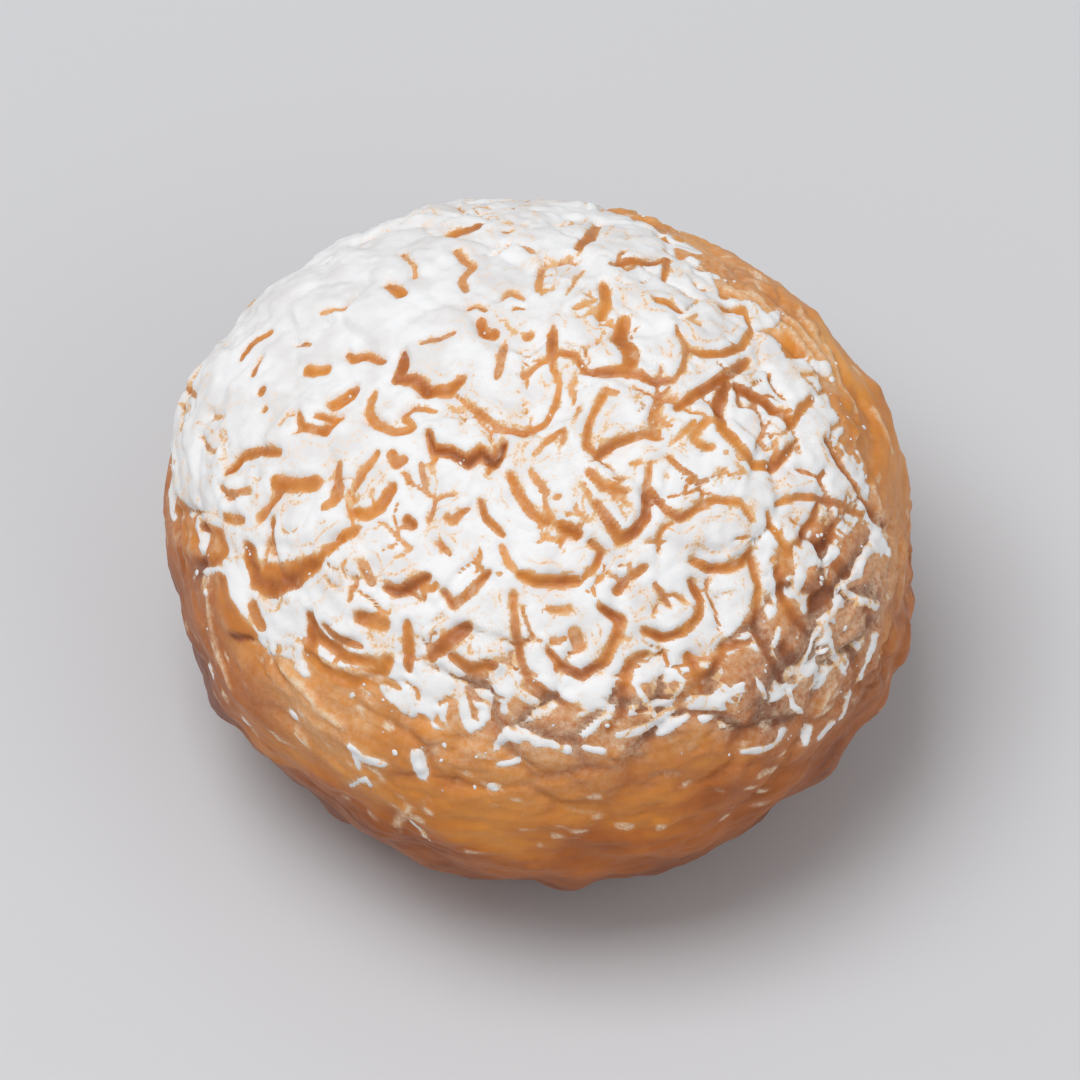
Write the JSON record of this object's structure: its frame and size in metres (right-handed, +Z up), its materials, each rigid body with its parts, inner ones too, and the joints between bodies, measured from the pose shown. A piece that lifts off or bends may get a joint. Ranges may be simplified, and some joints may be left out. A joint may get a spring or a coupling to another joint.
{
  "type": "cream puff",
  "caption": "Round filled choux bun with a crackled golden crust, a sugar-dusted top and a flat baked foot.",
  "frame": {"origin": "centre of the flat foot's plane, under the middle of the bun's bounding box, where the bun stands", "axes": "+Z up through the crown of the bun, -Y towards the side that the picture shows, +X to that view's right"},
  "size_m": [0.05, 0.049, 0.034],
  "materials": {
    "baked_crust": null,
    "powdered_sugar": null
  },
  "bodies": {
    "root": {"cream_puff": "baked_crust"}
  },
  "joints": []
}
